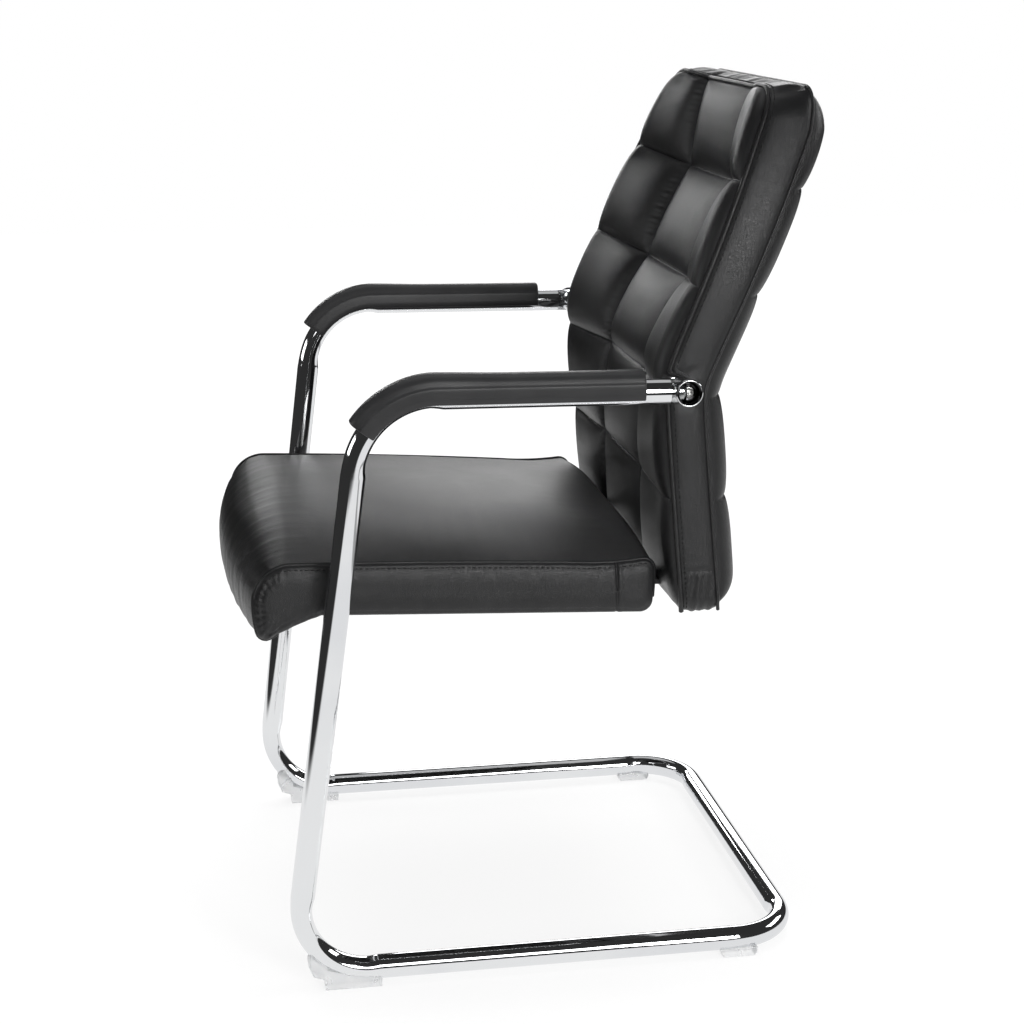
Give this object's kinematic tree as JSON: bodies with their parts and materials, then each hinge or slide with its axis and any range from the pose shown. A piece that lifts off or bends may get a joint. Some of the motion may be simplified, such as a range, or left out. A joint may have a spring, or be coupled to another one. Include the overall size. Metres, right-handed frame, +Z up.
{
  "type": "cantilever chair",
  "caption": "Cantilever visitor chair: one bent chrome tube carries a padded seat and a tufted leatherette back, with capped armrests.",
  "frame": {"origin": "on the floor, under the middle of the chair's overall box", "axes": "+Z up from the floor, the sitter faces -Y, the sitter's left side is +X"},
  "size_m": [0.5986, 0.6168, 0.9081],
  "materials": {
    "black_leatherette": "fine grain, satin",
    "chrome": "polished",
    "clear_glide": "translucent",
    "arm_pad_black": "satin",
    "zinc_steel": "bright",
    "black_steel": "satin",
    "plywood": "raw",
    "base_cloth": "matt, unwoven"
  },
  "bodies": {
    "root": {"back_front_pad": "black_leatherette", "back_rear_pad": "black_leatherette", "back_band": "black_leatherette", "back_front_piping": "black_leatherette", "back_rear_piping": "black_leatherette", "seat_cushion": "black_leatherette", "seat_band_left": "black_leatherette", "seat_band_right": "black_leatherette", "seat_piping_left": "black_leatherette", "seat_piping_right": "black_leatherette", "frame_tube": "chrome", "arm_boss_left": "chrome", "arm_boss_right": "chrome", "cross_bar": "chrome", "cross_bar_plates": "chrome", "front_glide_left": "clear_glide", "front_glide_right": "clear_glide", "rear_glide_left": "clear_glide", "rear_glide_right": "clear_glide", "arm_pad_left": "arm_pad_black", "arm_pad_right": "arm_pad_black", "arm_pad_screws": "zinc_steel", "arm_bolts": "zinc_steel", "strap_nuts": "zinc_steel", "cross_bar_bolts": "zinc_steel", "seat_bracket_bolts": "zinc_steel", "back_bracket_bolts": "zinc_steel", "seat_tee_nuts": "zinc_steel", "back_tee_nuts": "zinc_steel", "back_strap": "black_steel", "seat_bracket_left": "black_steel", "seat_bracket_right": "black_steel", "back_board": "plywood", "seat_board": "plywood", "seat_base_cloth": "base_cloth"}
  },
  "joints": []
}
